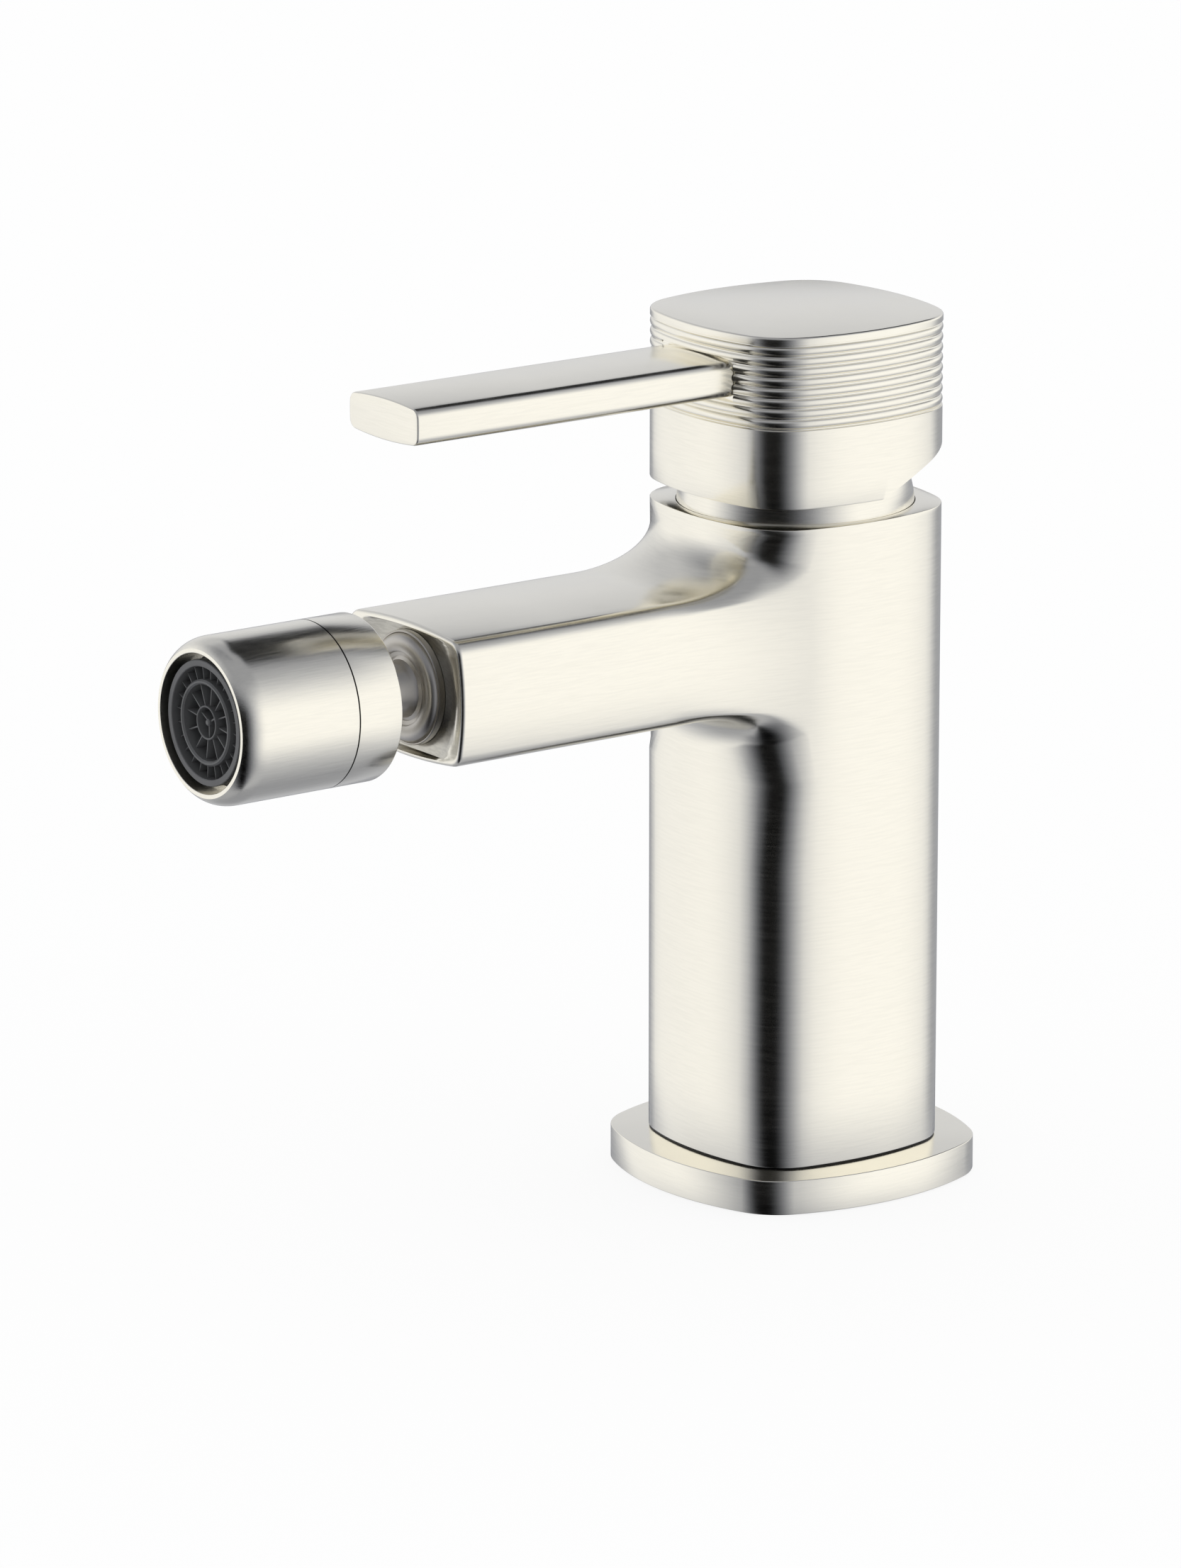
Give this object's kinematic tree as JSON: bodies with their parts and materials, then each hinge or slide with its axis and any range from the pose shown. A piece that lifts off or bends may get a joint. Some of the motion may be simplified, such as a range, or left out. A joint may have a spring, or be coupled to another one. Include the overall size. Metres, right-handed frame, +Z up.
{
  "type": "bidet mixer",
  "caption": "Single-lever bidet mixer: square-section body, blended spout with ball-jointed nozzle, ribbed hood with flat lever, square base plate.",
  "frame": {"origin": "centre of the base plate's underside, on the body's axis", "axes": "+Z up along the body; the spout, nozzle and lever point along -Y; +X is to the right of someone standing behind the mixer and facing along the spout"},
  "size_m": [0.0582, 0.1535, 0.1539],
  "materials": {
    "brushed_nickel": "brass with a warm brushed nickel finish",
    "polished_nickel": "polished nickel plate",
    "raw_brass": "machined, unplated",
    "pin_steel": "plain stainless",
    "seal_rubber": "matt black",
    "white_plastic": "moulded",
    "grey_plastic": "moulded",
    "red_plastic": "moulded",
    "disc_ceramic": "lapped"
  },
  "bodies": {
    "mixer": {"base_plate": "brushed_nickel", "base_seal": "seal_rubber", "body_casting": "brushed_nickel", "dome_cover": "brushed_nickel", "dome_oring": "seal_rubber", "cartridge_nut": "raw_brass", "cartridge_housing": "white_plastic", "cartridge_base": "white_plastic", "port_seal": "seal_rubber", "disc_seal": "seal_rubber", "fixed_disc": "disc_ceramic", "hot_stop_ring": "red_plastic", "ball_connector": "polished_nickel", "connector_oring": "seal_rubber"},
    "turret": {"spindle_guide": "grey_plastic", "pivot_pin": "pin_steel"},
    "slider": {"moving_disc": "disc_ceramic", "disc_carrier": "grey_plastic"},
    "lever": {"spindle": "raw_brass", "handle_hood": "brushed_nickel", "lever_bar": "brushed_nickel", "lever_screw": "pin_steel", "grub_screw": "pin_steel", "grub_plug": "brushed_nickel"},
    "liner": {"ball_liner": "white_plastic"},
    "seal": {"ball_seal": "seal_rubber"},
    "nozzle": {"nozzle_nut": "brushed_nickel", "nozzle_housing": "brushed_nickel", "aerator_washer": "seal_rubber", "aerator_screen": "pin_steel", "aerator_body": "grey_plastic"}
  },
  "joints": [
    {"name": "lever_turn", "type": "hinge", "parent": "mixer", "child": "turret", "pos_m": [0, 0, 0.1185], "axis": [0, 0, 1], "range_deg": [-50, 50]},
    {"name": "lever_lift", "type": "hinge", "parent": "turret", "child": "lever", "pos_m": [0, 0, 0.1185], "axis": [-1, 0, 0], "range_deg": [0, 22]},
    {"name": "disc_slide", "type": "slide", "parent": "turret", "child": "slider", "axis": [0, -1, 0], "range_m": [0, 0.0034]},
    {"name": "nozzle_pitch", "type": "hinge", "parent": "mixer", "child": "liner", "pos_m": [0, -0.1005, 0.09875], "axis": [1, 0, 0], "range_deg": [-15, 15]},
    {"name": "nozzle_yaw", "type": "hinge", "parent": "liner", "child": "seal", "pos_m": [0, -0.1005, 0.09875], "axis": [0, 0, 1], "range_deg": [-15, 15]},
    {"name": "nozzle_spin", "type": "hinge", "parent": "seal", "child": "nozzle", "pos_m": [0, -0.1005, 0.09875], "axis": [0, 1, 0], "continuous": true}
  ],
  "couplings": [
    {"joint": "disc_slide", "follows": "lever_lift", "m_per_rad": 0.0085}
  ]
}
